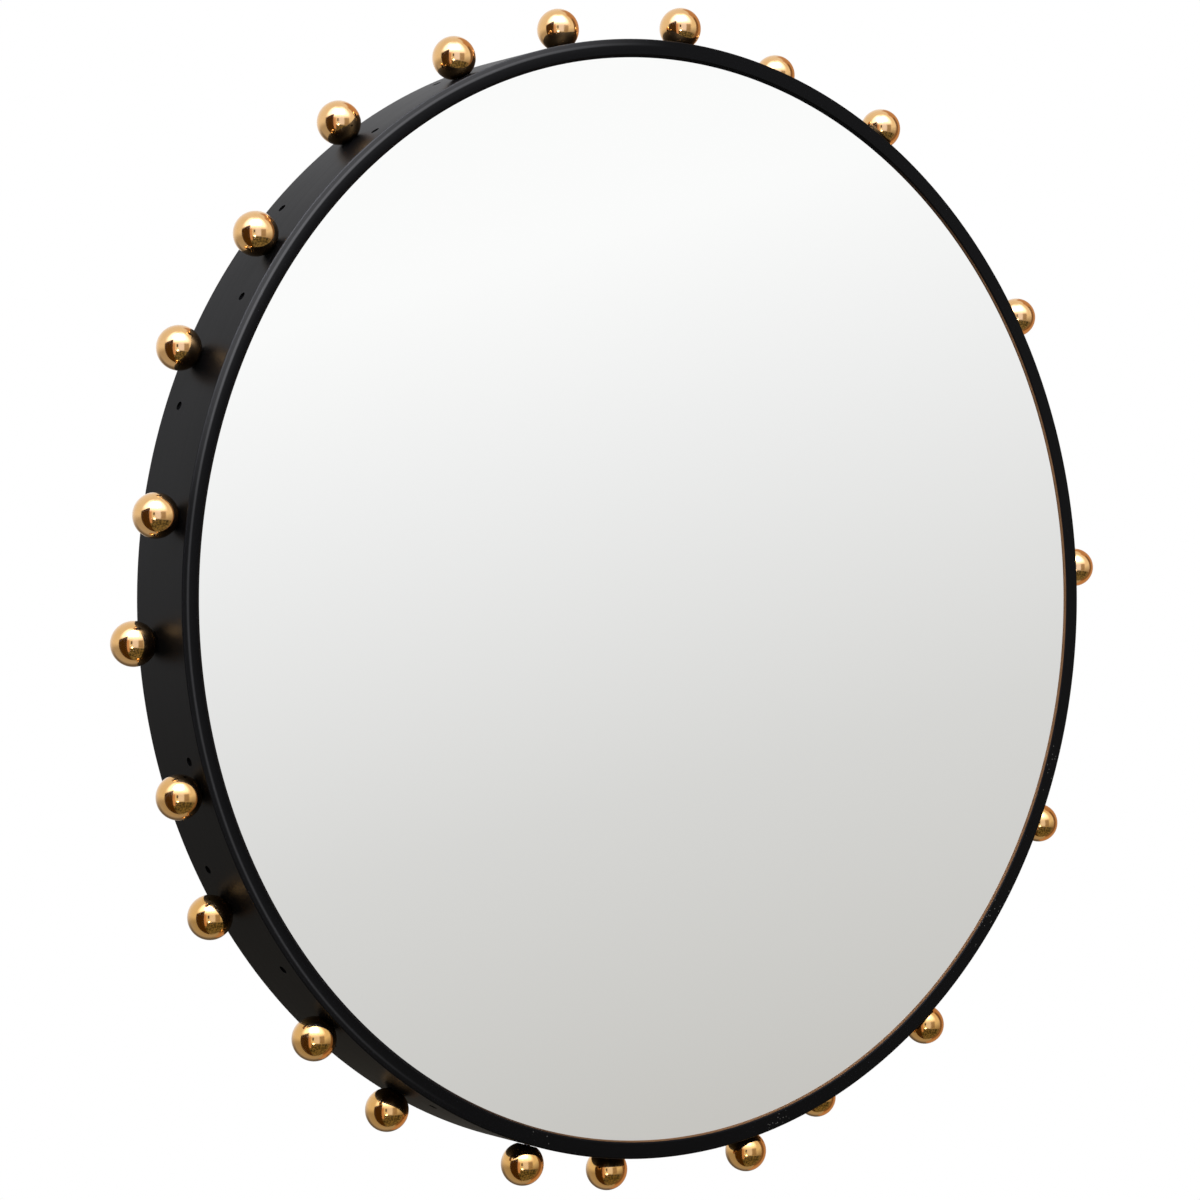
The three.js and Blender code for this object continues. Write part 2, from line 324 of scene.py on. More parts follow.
class Shading:
    """The node tree of a material or of the world, with the nodes that this mirror uses."""

    def __init__(self, tree):
        self.tree = tree
        tree.nodes.clear()

    def node(self, kind, options=None, inputs=None, output=0):
        """A node of a kind, its options set first, then its inputs, as one of its outputs."""
        made = self.tree.nodes.new(kind)
        for name, value in (options or {}).items():
            if name == "stops":
                self.set_stops(made.color_ramp, value)
            else:
                setattr(made, name, value)
        for name, value in (inputs or {}).items():
            if isinstance(value, Wire):
                self.tree.links.new(value.socket, made.inputs[name])
            else:
                made.inputs[name].default_value = value
        return Wire(self, made.outputs[output])

    def set_stops(self, ramp, stops):
        while len(ramp.elements) > 1:
            ramp.elements.remove(ramp.elements[-1])
        for index, (position, colour) in enumerate(stops):
            element = ramp.elements[0] if index == 0 else ramp.elements.new(position)
            element.position = position
            element.color = (*colour, 1)

    def math(self, operation, *terms):
        """A Math node on values or links."""
        return self.node("ShaderNodeMath", {"operation": operation}, dict(enumerate(terms)))

    def direction(self):
        """The direction that a ray of the world comes from."""
        return self.node("ShaderNodeTexCoord", output="Generated")

    def place(self):
        """The point on the surface, in the part's own frame."""
        return self.node("ShaderNodeTexCoord", output="Object")

    def stretched(self, scale):
        """The point with each of its coordinates scaled."""
        return self.node(
            "ShaderNodeVectorMath", {"operation": "MULTIPLY"}, {0: self.place(), 1: scale}
        )

    def split(self, vector):
        """The three coordinates of a vector."""
        made = self.node("ShaderNodeSeparateXYZ", inputs={0: vector}).socket.node
        return [Wire(self, socket) for socket in made.outputs]

    def from_axis(self):
        """The distance from the hoop's axis."""
        flat = self.stretched((1, 0, 1))
        return self.node("ShaderNodeVectorMath", {"operation": "LENGTH"}, {0: flat}, "Value")

    def noise(self, scale, detail=2.0, roughness=0.5, vector=None):
        """Smooth noise from 0 to 1."""
        inputs = {
            "Vector": vector or self.place(),
            "Scale": scale,
            "Detail": detail,
            "Roughness": roughness,
        }
        return self.node("ShaderNodeTexNoise", inputs=inputs)

    def between(self, value, low, high, start=0.0, end=1.0):
        """A value that runs smoothly from start to end while another goes from low to high."""
        inputs = {"Value": value, 1: low, 2: high, 3: start, 4: end}
        return self.node("ShaderNodeMapRange", {"interpolation_type": "SMOOTHSTEP"}, inputs)

    def inside(self, value, low, high, soft):
        """1 where a value lies between two others, with soft ends."""
        rise = self.between(value, low - soft, low + soft)
        fall = self.between(value, high - soft, high + soft, 1.0, 0.0)
        return rise * fall

    def blend(self, factor, first, second):
        """A colour between two others."""
        inputs = {0: factor, 6: self.colour(first), 7: self.colour(second)}
        return self.node("ShaderNodeMix", {"data_type": "RGBA"}, inputs, 2)

    def colour(self, value):
        return value if isinstance(value, Wire) else (*value, 1)

    def bump(self, height, distance, strength=1.0):
        inputs = {"Height": height, "Distance": distance, "Strength": strength}
        return self.node("ShaderNodeBump", inputs=inputs)

    def surface(self, kind, inputs):
        """The last shader of a material."""
        self.output(self.node(kind, inputs=inputs))

    def output(self, shader, kind="ShaderNodeOutputMaterial"):
        made = self.tree.nodes.new(kind)
        self.tree.links.new(shader.socket, made.inputs["Surface"])


def new_material(name):
    """A material and its shading."""
    material = bpy.data.materials.new(name)
    material.use_nodes = True
    return material, Shading(material.node_tree)


def shade(colour, factor):
    """A colour made lighter or darker."""
    return tuple(channel * factor for channel in colour)


# ---- materials: finishes ----


def satin_black_paint():
    """Satin black paint over steel: rolling marks, orange peel, worn rims and a little dust.
    Wear, primer and dust lie only where the photo shows them; the lip's pale line is a painted highlight,
    kept to the left and top."""
    hoop = settings().hoop
    material, s = new_material("satin_black_paint")
    x, depth, z = s.split(s.place())
    radius = s.from_axis()
    # brown shows in the photo only on the right and lower right, so it is kept there
    worn = s.between(x * 0.8 - z * 0.5, -0.03, 0.25)

    drift = s.noise(9.0, 3.0)
    rolling = s.noise(1.0, 2.0, vector=s.stretched((4, 420, 4)))
    peel = s.noise(1300.0, 1.0)
    colour = s.blend(drift, hoop.paint, shade(hoop.paint, 1.7))

    # the rims, where the paint is thin and brown shows
    bronze = (0.085, 0.043, 0.018)
    at_back = s.between(depth, HOOP_BACK - 1.1 * hoop.edge, HOOP_BACK - 0.3 * hoop.edge)
    at_lip = s.between(radius, LIP_INNER + 0.2 * hoop.edge, LIP_INNER + hoop.edge, 1.0, 0.0)
    ragged = s.between(s.noise(60.0, 4.0), 0.3, 0.62)
    colour = s.blend(at_back * ragged * 0.8, colour, bronze)
    colour = s.blend(at_lip * ragged * worn * 0.35, colour, bronze)

    # behind the lip there is only primer
    behind = s.inside(depth, HOOP_FRONT + 0.4 * hoop.sheet, GLASS_BACK, 0.0002)
    behind = behind * s.between(radius, LIP_INNER + 0.0014, LIP_INNER + 0.0012 + hoop.bevel, 1.0, 0.0)
    stained = s.blend(s.noise(35.0, 3.0), hoop.primer, shade(hoop.primer, 0.6))
    colour = s.blend(behind * worn, colour, stained)

    # painted shade: the walls and floors of the empty holes are coloured near black
    wall = s.inside(radius, HOOP_RADIUS - 0.9 * hoop.sheet, HOOP_RADIUS - 0.12 * hoop.sheet, 0.00008)
    hole_painted_shade = wall * s.inside(depth, HOOP_FRONT + 0.01, HOOP_BACK - 0.01, 0.0005)
    colour = s.blend(hole_painted_shade, colour, (0.0002, 0.0002, 0.0002))

    # dust that has settled low on the lip
    cells = s.node("ShaderNodeTexVoronoi", inputs={"Vector": s.place(), "Scale": 260.0})
    speck = s.between(cells, 0.1, 0.16, 1.0, 0.0)
    patch = s.between(s.noise(16.0, 2.0), 0.56, 0.66)
    low = s.between(z - 0.7 * x, -0.05, -0.16)
    colour = s.blend(speck * patch * low * 0.5, colour, (0.3, 0.29, 0.27))

    # painted highlight: a pale line near the lip's outer edge on the left and top, put into the colour, so
    # it stays put where a real highlight would move
    middle = HOOP_RADIUS - hoop.painted_highlight_inset
    half = 0.0008
    line = s.inside(radius, middle - half, middle + half, half)
    line = line + s.between(radius, LIP_INNER + 0.003, middle) * 0.09
    left = s.between(x, -0.2, -0.4) * 0.3
    top = s.between(z - 0.9 * x, 0.46, 0.6) * 0.7
    beyond = s.between(radius, middle, middle + 0.001) * 0.6
    in_front = s.between(depth, HOOP_FRONT + 0.0006, HOOP_FRONT + 0.001, 1.0, 0.0)
    pale = line * (left + top) + beyond * top
    colour = s.blend(pale * in_front, colour, (0.13, 0.13, 0.137))

    roughness = 0.33 + drift * 0.08 + rolling * 0.06 + behind * 0.3 + hole_painted_shade * 0.5
    height = peel + rolling * 0.35
    # far less shiny than real paint, for the photo's deep blacks
    gloss = 0.062
    s.surface(
        "ShaderNodeBsdfPrincipled",
        {
            "Base Color": colour,
            "Roughness": roughness,
            "Specular IOR Level": gloss,
            "Normal": s.bump(height, 0.00002),
        },
    )
    return material


def polished_brass():
    """Turned and polished brass: fine rings from the lathe, scratches and a breath of tarnish."""
    material, s = new_material("polished_brass")
    balls = settings().balls
    turned = s.node("ShaderNodeAttribute", {"attribute_name": "turned"}, output="Fac")

    tarnish = s.between(s.noise(55.0, 4.0, 0.6), 0.4, 0.75)
    # the balls turn darker and warmer towards the bottom of the hoop
    low = s.between(s.split(s.place())[2], 0.1, -0.3)
    colour = s.blend(low * 0.8, balls.brass, balls.lower_brass)
    colour = s.blend(tarnish * 0.35, colour, shade(balls.lower_brass, 0.9))
    smudge = s.between(s.noise(90.0, 3.0, 0.6), 0.48, 0.72)
    rings = s.node(
        "ShaderNodeTexNoise",
        {"noise_dimensions": "1D"},
        {"W": turned, "Scale": 2600.0, "Detail": 2.0},
    )
    scratches = s.noise(1.0, 3.0, 0.7, vector=s.stretched((900, 2400, 300)))
    scratched = s.between(scratches, 0.62, 0.72)
    height = rings * 0.5 + scratched * 0.5
    s.surface(
        "ShaderNodeBsdfPrincipled",
        {
            "Base Color": colour,
            "Metallic": 1.0,
            "Roughness": 0.09 + smudge * 0.08 + scratched * 0.05,
            "Coat Weight": 0.45 + smudge * 0.3,
            "Coat Roughness": 0.3,
            "Normal": s.bump(height, 0.0000045),
        },
    )
    return material


def silvered_glass():
    """Silvered float glass, which shows as a mirror."""
    material, s = new_material("silvered_glass")
    silver = settings().back.silver
    colour = s.blend(s.noise(3.0, 2.0), silver, shade(silver, 0.995))
    s.surface(
        "ShaderNodeBsdfPrincipled", {"Base Color": colour, "Metallic": 1.0, "Roughness": 0.004}
    )
    return material


def backing_paint():
    """The grey paint that guards the silvering, and the ground edge of the glass."""
    material, s = new_material("backing_paint")
    colour = s.blend(s.noise(40.0, 3.0), (0.2, 0.23, 0.22), (0.27, 0.31, 0.29))
    s.surface("ShaderNodeBsdfPrincipled", {"Base Color": colour, "Roughness": 0.5})
    return material


def raw_fibreboard():
    """Pressed wood fibre, a little mottled, with darker sawn edges."""
    material, s = new_material("raw_fibreboard")
    fibre = settings().back.fibre
    mottle = s.noise(14.0, 5.0, 0.65)
    flecks = s.between(s.noise(420.0, 2.0), 0.56, 0.72)
    hair = s.noise(1.0, 3.0, vector=s.stretched((160, 160, 700)))
    colour = s.blend(mottle, fibre, shade(fibre, 1.35))
    colour = s.blend(flecks * 0.45, colour, shade(fibre, 0.45))
    sawn = s.between(s.from_axis(), BOARD_RADIUS - 0.0012, BOARD_RADIUS - 0.0002)
    colour = s.blend(sawn, colour, shade(fibre, 0.4))
    s.surface(
        "ShaderNodeBsdfPrincipled",
        {
            "Base Color": colour,
            "Roughness": 0.78 + mottle * 0.15,
            "Normal": s.bump(hair + flecks, 0.00012),
        },
    )
    return material


def zinc_plate():
    """Zinc plating with its cloudy bloom and fine scuffs."""
    material, s = new_material("zinc_plate")
    zinc = settings().hangers.zinc
    cloud = s.noise(120.0, 4.0, 0.6)
    warm = s.between(s.noise(30.0, 2.0), 0.45, 0.7)
    scuff = s.noise(1.0, 2.0, vector=s.stretched((1500, 300, 1500)))
    colour = s.blend(cloud, shade(zinc, 0.82), shade(zinc, 1.12))
    colour = s.blend(warm * 0.35, colour, (0.6, 0.55, 0.42))
    s.surface(
        "ShaderNodeBsdfPrincipled",
        {
            "Base Color": colour,
            "Metallic": 1.0,
            "Roughness": 0.3 + cloud * 0.16,
            "Normal": s.bump(scuff, 0.00002),
        },
    )
    return material


def floor_paper():
    """Pale paper, which fades into the white background towards its edge."""
    stage = settings().stage
    material, s = new_material("floor_paper")
    flat = s.stretched((1, 1, 0))
    away = s.node("ShaderNodeVectorMath", {"operation": "LENGTH"}, {0: flat}, "Value")
    colour = s.blend(s.noise(6.0, 4.0), (0.8, 0.8, 0.795), (0.84, 0.84, 0.835))
    paper = s.node(
        "ShaderNodeBsdfPrincipled",
        inputs={"Base Color": colour, "Roughness": 0.9, "Specular IOR Level": 0.0},
    )
    glow = s.node("ShaderNodeEmission", inputs={"Color": (1, 1, 1, 1), "Strength": 1.0})
    seen = s.node("ShaderNodeLightPath", output="Is Camera Ray")
    fade = s.between(away, 0.15 * stage.floor_radius, 0.95 * stage.floor_radius, 0.35, 1.0)
    s.output(s.node("ShaderNodeMixShader", inputs={0: seen * fade, 1: paper, 2: glow}))
    return material


# ---- making pieces ----


def edges_at(form, radius, depth):
    """The round edges of a form that lie at a distance from the hoop's axis and a depth."""
    near = 1e-5

    def lies(vertex):
        away = math.hypot(vertex.co.x, vertex.co.z)
        return abs(away - radius) < near and abs(vertex.co.y - depth) < near

    return [edge for edge in form.edges if all(lies(vertex) for vertex in edge.verts)]


def round_edges(form, edges, radius, segments):
    bmesh.ops.bevel(
        form,
        geom=edges,
        offset=radius,
        offset_type="OFFSET",
        segments=segments,
        profile=0.5,
        affect="EDGES",
        material=-1,
        clamp_overlap=True,
    )


def outline(form, corners):
    """A closed outline of straight edges through corners, as vertices and edges."""
    vertices = [form.verts.new(corner) for corner in corners]
    edges = [
        form.edges.new((vertices[index - 1], vertices[index])) for index in range(len(vertices))
    ]
    return vertices, edges


def turned_ring(corners, steps):
    """A whole ring round the hoop's axis from a section given as (radius, depth) corners."""
    form = bmesh.new()
    vertices, edges = outline(form, [(radius, depth, 0) for radius, depth in corners])
    bmesh.ops.spin(
        form,
        geom=vertices + edges,
        cent=(0, 0, 0),
        axis=ROUND,
        angle=2 * math.pi,
        steps=steps,
        use_merge=True,
    )
    return form


def sweep(form, face, centre, axis, angle, steps):
    """Carries a face round an axis, leaving a solid behind it, and gives the face at its end."""
    geometry = [face, *face.edges, *face.verts]
    made = bmesh.ops.spin(
        form, geom=geometry, cent=centre, axis=axis, angle=angle, steps=steps, use_merge=False
    )
    return next(item for item in made["geom_last"] if isinstance(item, bmesh.types.BMFace))


def push(form, face, offset):
    """Carries a face along an offset, leaving a solid behind it, and gives the face at its end."""
    made = bmesh.ops.extrude_face_region(form, geom=[face])
    moved = [item for item in made["geom"] if isinstance(item, bmesh.types.BMVert)]
    bmesh.ops.translate(form, verts=moved, vec=offset)
    return next(item for item in made["geom"] if isinstance(item, bmesh.types.BMFace))


def round_plate(radius, front, back, steps):
    """A disc that faces the front."""
    form = bmesh.new()
    turn = Matrix.Translation((0, front, 0)) @ Matrix.Rotation(math.pi / 2, 4, "X")
    bmesh.ops.create_circle(form, cap_ends=True, segments=steps, radius=radius, matrix=turn)
    push(form, form.faces[:][0], (0, back - front, 0))
    return form


def rod(radius, length, steps, place):
    """A cylinder whose own Z is its length."""
    form = bmesh.new()
    bmesh.ops.create_cone(
        form, cap_ends=True, segments=steps, radius1=radius, radius2=radius, depth=length, matrix=place
    )
    return form


def joined(forms):
    """Several forms as one."""
    whole = bmesh.new()
    mesh = bpy.data.meshes.new("joined")
    for form in forms:
        form.to_mesh(mesh)
        whole.from_mesh(mesh)
        form.free()
    bpy.data.meshes.remove(mesh)
    return whole


def combine(form, other, operation):
    """A form joined with another one, or cut by it."""
    objects = []
    for name, source in (("form", form), ("other", other)):
        bmesh.ops.recalc_face_normals(source, faces=source.faces)
        mesh = bpy.data.meshes.new(name)
        source.to_mesh(mesh)
        source.free()
        objects.append(bpy.data.objects.new(name, mesh))
        bpy.context.scene.collection.objects.link(objects[-1])
    modifier = objects[0].modifiers.new("combine", "BOOLEAN")
    modifier.operation = operation
    modifier.solver = "EXACT"
    modifier.object = objects[1]
    result = bmesh.new()
    result.from_object(objects[0], bpy.context.evaluated_depsgraph_get())
    for thing in objects:
        mesh = thing.data
        bpy.data.objects.remove(thing)
        bpy.data.meshes.remove(mesh)
    return result


def clean(form, sharp=35):
    """Faces out, smooth but for edges sharper than an angle in degrees."""
    bmesh.ops.remove_doubles(form, verts=form.verts, dist=1e-6)
    bmesh.ops.recalc_face_normals(form, faces=form.faces)
    for face in form.faces:
        face.smooth = True
    for edge in form.edges:
        edge.smooth = edge.is_manifold and edge.calc_face_angle() < math.radians(sharp)
    return form


def piece(name, form, materials, node, body="mirror"):
    """A finished piece, which stands for a CAD node and rides on its body."""
    mesh = bpy.data.meshes.new(name)
    form.to_mesh(mesh)
    form.free()
    for material in materials:
        mesh.materials.append(material)
    thing = bpy.data.objects.new(name, mesh)
    bpy.context.scene.collection.objects.link(thing)
    # broad faces stay flat next to the small roundings of their edges
    weighted = thing.modifiers.new("weighted_normals", "WEIGHTED_NORMAL")
    weighted.keep_sharp = True
    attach(thing, body)
    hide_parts(node)


def at_station(node, distance):
    """The place of a turned piece whose own Z runs out along the hoop's radius."""
    middle = middle_of(node)
    out = radial(angle_of(middle))
    turn = out.to_track_quat("Z", "Y").to_matrix().to_4x4()
    return Matrix.Translation(out * distance + AXIS * middle.y) @ turn


def reach_of(node):
    """How near to and far from the hoop's axis a turned piece reaches, along its own axis."""
    middle = middle_of(node)
    out = radial(angle_of(middle))
    reaches = [vertex.co.dot(out) for vertex in frame["nodes"][node].data.vertices]
    return min(reaches), max(reaches)


# ---- pieces ----


def empty_hole_angles(hoop):
    """Angle and depth of each empty hole: every second one is in the front row."""
    rows = {row: [middle_of(name) for name in BALLS if row in name] for row in ("front", "back")}
    places = []
    for index in range(hoop.holes):
        angle = hoop.first_hole + 2 * math.pi * index / hoop.holes
        row = rows["front" if index % 2 else "back"]
        out = radial(angle)
        if all(out.angle(radial(angle_of(ball))) > math.radians(2) for ball in row):
            places.append((angle, row[0].y))
    return places


def hoop_form():
    """The hoop with its lip, rounded edges and holes."""
    hoop = settings().hoop
    inner = HOOP_RADIUS - hoop.sheet
    behind_lip = HOOP_FRONT + hoop.sheet
    bevel_end = HOOP_FRONT + 0.8 * hoop.sheet
    form = turned_ring(
        [
            (inner, HOOP_BACK),
            (HOOP_RADIUS, HOOP_BACK),
            (HOOP_RADIUS, HOOP_FRONT),
            (LIP_INNER + hoop.bevel, HOOP_FRONT),
            (LIP_INNER, bevel_end),
            (LIP_INNER, behind_lip),
            (inner, behind_lip),
        ],
        HOOP_SIDES,
    )
    round_edges(form, edges_at(form, HOOP_RADIUS, HOOP_FRONT), hoop.corner, 6)
    round_edges(form, edges_at(form, inner, behind_lip), hoop.inner_bend, 4)
    for radius, depth in (
        (HOOP_RADIUS, HOOP_BACK),
        (inner, HOOP_BACK),
        (LIP_INNER + hoop.bevel, HOOP_FRONT),
    ):
        round_edges(form, edges_at(form, radius, depth), hoop.edge / 2, 3)

    middle = HOOP_RADIUS - hoop.sheet / 2
    cutter_length = 4 * hoop.sheet
    # carries a cutter out until its inner end lies hole_depth under the hoop's surface
    shift = hoop.sheet / 2 + cutter_length / 2 - hoop.hole_depth
    cutters = []
    for angle, depth in empty_hole_angles(hoop):
        out = radial(angle)
        place = Matrix.Translation(out * middle + AXIS * depth)
        place = place @ out.to_track_quat("Z", "Y").to_matrix().to_4x4()
        outwards = Matrix.Translation((0, 0, shift))
        cutters.append(rod(hoop.hole, cutter_length, HOLE_SIDES, place @ outwards))
    for node in BALLS:
        bore = settings().balls.bore
        cutters.append(rod(bore, cutter_length, HOLE_SIDES // 2, at_station(node, middle)))
    return clean(combine(form, joined(cutters), "DIFFERENCE"))


def ball_form(node):
    """A ball with a flat seat and a blind hole for its screw."""
    balls = settings().balls
    seat_at, top = reach_of(node)
    seat_below = top - balls.radius - seat_at
    form = bmesh.new()
    bmesh.ops.create_uvsphere(form, u_segments=64, v_segments=40, radius=balls.radius)
    bmesh.ops.bisect_plane(
        form,
        geom=form.verts[:] + form.edges[:] + form.faces[:],
        plane_co=(0, 0, -seat_below),
        plane_no=(0, 0, -1),
        clear_outer=True,
    )
    rim = [edge for edge in form.edges if edge.is_boundary]
    seat = bmesh.ops.contextual_create(form, geom=rim)["faces"][0]
    bmesh.ops.recalc_face_normals(form, faces=form.faces)
    bmesh.ops.inset_region(form, faces=[seat], thickness=balls.seat - balls.bore, use_even_offset=True)
    push(form, seat, (0, 0, BALL_HOLE_DEPTH))
    height = form.verts.layers.float.new("turned")
    for vertex in form.verts:
        vertex[height] = vertex.co.z
    form.transform(at_station(node, top - balls.radius))
    return clean(form)


def screw_form():
    """A slotted pan-head screw: its head seats at the origin, and its shank runs along +Z."""
    balls = settings().balls
    head = rod(
        balls.head,
        balls.head_height,
        SCREW_SIDES,
        Matrix.Translation((0, 0, -balls.head_height / 2)),
    )
    rim = [
        edge
        for edge in head.edges
        if all(abs(vertex.co.z + balls.head_height) < 1e-6 for vertex in edge.verts)
    ]
    round_edges(head, rim, 0.6 * balls.head_height, 5)
    low, high = reach_of(SCREWS[0])
    length = high - low - balls.head_height
    shank = rod(balls.shank, length, 24, Matrix.Translation((0, 0, length / 2 - 0.0005)))
    whole = combine(head, shank, "UNION")
    slot = bmesh.new()
    size = Matrix.Diagonal((balls.slot, 3 * balls.head, 2 * balls.slot, 1))
    bmesh.ops.create_cube(slot, matrix=Matrix.Translation((0, 0, -balls.head_height)) @ size)
    return clean(combine(whole, slot, "DIFFERENCE"), 25)


def strap_form():
    """A strip along the hoop's inside whose upper end is rolled into a barrel."""
    hangers = settings().hangers
    span = hangers.length / STRAP_RADIUS
    top = angle_of(HINGE)
    inner = STRAP_RADIUS - hangers.sheet
    out = radial(top - span)
    form = bmesh.new()
    corners = [
        out * inner + AXIS * STRAP_FRONT,
        out * STRAP_RADIUS + AXIS * STRAP_FRONT,
        out * STRAP_RADIUS + AXIS * STRAP_BACK,
        out * inner + AXIS * STRAP_BACK,
    ]
    face = form.faces.new([form.verts.new(corner) for corner in corners])
    face = sweep(form, face, (0, 0, 0), ROUND, span, 12)
    centre = (HINGE.x, 0, HINGE.z)
    rolled = math.radians(318)
    sweep(form, face, centre, ROUND, rolled, 40)
    bmesh.ops.remove_doubles(form, verts=form.verts, dist=1e-7)
    return clean(form)


def wire_ring_form():
    """A D-shaped ring of round wire, hanging from its straight side."""
    hangers = settings().hangers
    form = bmesh.new()
    place = Matrix.Translation(HINGE + AXIS * hangers.bend)
    bmesh.ops.create_circle(
        form, cap_ends=True, segments=WIRE_SIDES, radius=hangers.wire, matrix=place
    )
    face = push(form, form.faces[:][0], (0, 0, -hangers.leg))
    centre = HINGE - Vector((0, 0, hangers.leg))
    face = sweep(form, face, centre, (-1, 0, 0), math.pi, 32)
    push(form, face, (0, 0, hangers.leg))
    turn = Matrix.Translation(HINGE) @ Matrix.Rotation(math.pi / 2, 4, "X")
    bar = rod(hangers.wire, hangers.bar, WIRE_SIDES, turn)
    ends = [
        edge
        for edge in bar.edges
        if abs(edge.verts[0].co.y - edge.verts[1].co.y) < 1e-7
    ]
    round_edges(bar, ends, 0.35 * hangers.wire, 3)
    return clean(combine(form, bar, "UNION"), 50)


def mirrored(form):
    """A form turned over in the hoop's upright middle plane."""
    form.transform(Matrix.Scale(-1, 4, (1, 0, 0)))
    bmesh.ops.reverse_faces(form, faces=form.faces)
    return form


class MIRROR_OT_hoop(bpy.types.Operator):
    """Make the black steel hoop"""

    bl_idname = "mirror.hoop"
    bl_label = "Hoop"

    def execute(self, context):
        piece("black_hoop", hoop_form(), [satin_black_paint()], "frame_hoop")
        return {"FINISHED"}


class MIRROR_OT_pane(bpy.types.Operator):
    """Make the glass with its silvered back"""

    bl_idname = "mirror.pane"
    bl_label = "Silvered glass"

    def execute(self, context):
        form = round_plate(GLASS_RADIUS, GLASS_FRONT, GLASS_BACK, PLATE_SIDES)
        arris = settings().back.arris
        for depth in (GLASS_FRONT, GLASS_BACK):
            round_edges(form, edges_at(form, GLASS_RADIUS, depth), arris, 1)
        clean(form, 25)
        for face in form.faces:
            face.material_index = 0 if face.normal.y < -0.9 else 1
        materials = [silvered_glass(), backing_paint()]
        piece("silvered_pane", form, materials, "mirror_glass")
        return {"FINISHED"}


class MIRROR_OT_back(bpy.types.Operator):
    """Make the backing board and the split ring that holds it"""

    bl_idname = "mirror.back"
    bl_label = "Board and retaining ring"

    def execute(self, context):
        back = settings().back
        board = round_plate(BOARD_RADIUS, BOARD_FRONT, BOARD_BACK, PLATE_SIDES)
        for depth in (BOARD_FRONT, BOARD_BACK):
            round_edges(board, edges_at(board, BOARD_RADIUS, depth), back.chamfer, 2)
        piece("fibreboard_back", clean(board), [raw_fibreboard()], "backing_board")

        leg = RETAINER_RADIUS - back.angle_sheet
        flange = RETAINER_FRONT + back.angle_sheet
        section = [
            (FLANGE_RADIUS, RETAINER_FRONT),
            (RETAINER_RADIUS, RETAINER_FRONT),
            (RETAINER_RADIUS, RETAINER_BACK),
            (leg, RETAINER_BACK),
            (leg, flange),
            (FLANGE_RADIUS, flange),
        ]
        gap = back.split / RETAINER_RADIUS
        start = gap / 2 - math.pi / 2
        form = bmesh.new()
        corners = [radial(start) * radius + AXIS * depth for radius, depth in section]
        face = form.faces.new([form.verts.new(corner) for corner in corners])
        sweep(form, face, (0, 0, 0), ROUND, 2 * math.pi - gap, PLATE_SIDES)
        inner_bend = 0.0006
        outer_bend = inner_bend + back.angle_sheet
        round_edges(form, edges_at(form, RETAINER_RADIUS, RETAINER_FRONT), outer_bend, 5)
        round_edges(form, edges_at(form, leg, flange), inner_bend, 3)
        piece("retaining_angle", clean(form), [zinc_plate()], "retaining_ring")
        return {"FINISHED"}


class MIRROR_OT_balls(bpy.types.Operator):
    """Make the brass balls"""

    bl_idname = "mirror.balls"
    bl_label = "Balls"

    def execute(self, context):
        brass = polished_brass()
        for node in BALLS:
            piece("brass_" + node, ball_form(node), [brass], node)
        return {"FINISHED"}


class MIRROR_OT_screws(bpy.types.Operator):
    """Make the screw of each ball"""

    bl_idname = "mirror.screws"
    bl_label = "Screws"

    def execute(self, context):
        zinc = zinc_plate()
        head_height = settings().balls.head_height
        pattern = bpy.data.meshes.new("screw_pattern")
        form = screw_form()
        form.to_mesh(pattern)
        form.free()
        for index, node in enumerate(SCREWS):
            form = bmesh.new()
            form.from_mesh(pattern)
            # each screw was driven home to an angle of its own
            form.transform(Matrix.Rotation(math.radians(37 * index), 4, "Z"))
            form.transform(at_station(node, reach_of(node)[0] + head_height))
            piece("slotted_" + node, form, [zinc], node)
        bpy.data.meshes.remove(pattern)
        return {"FINISHED"}


class MIRROR_OT_hangers(bpy.types.Operator):
    """Make the two hanger straps and the rings that swing in them"""

    bl_idname = "mirror.hangers"
    bl_label = "Hangers"

    def execute(self, context):
        zinc = zinc_plate()
        for side, turn in (("right", lambda form: form), ("left", mirrored)):
            strap = turn(strap_form())
            piece("rolled_strap_" + side, strap, [zinc], "hanger_strap_" + side)
            ring = turn(wire_ring_form())
            node = "hanger_ring_" + side
            piece("wire_ring_" + side, ring, [zinc], node, "ring_" + side)
        return {"FINISHED"}


# ---- stage ----


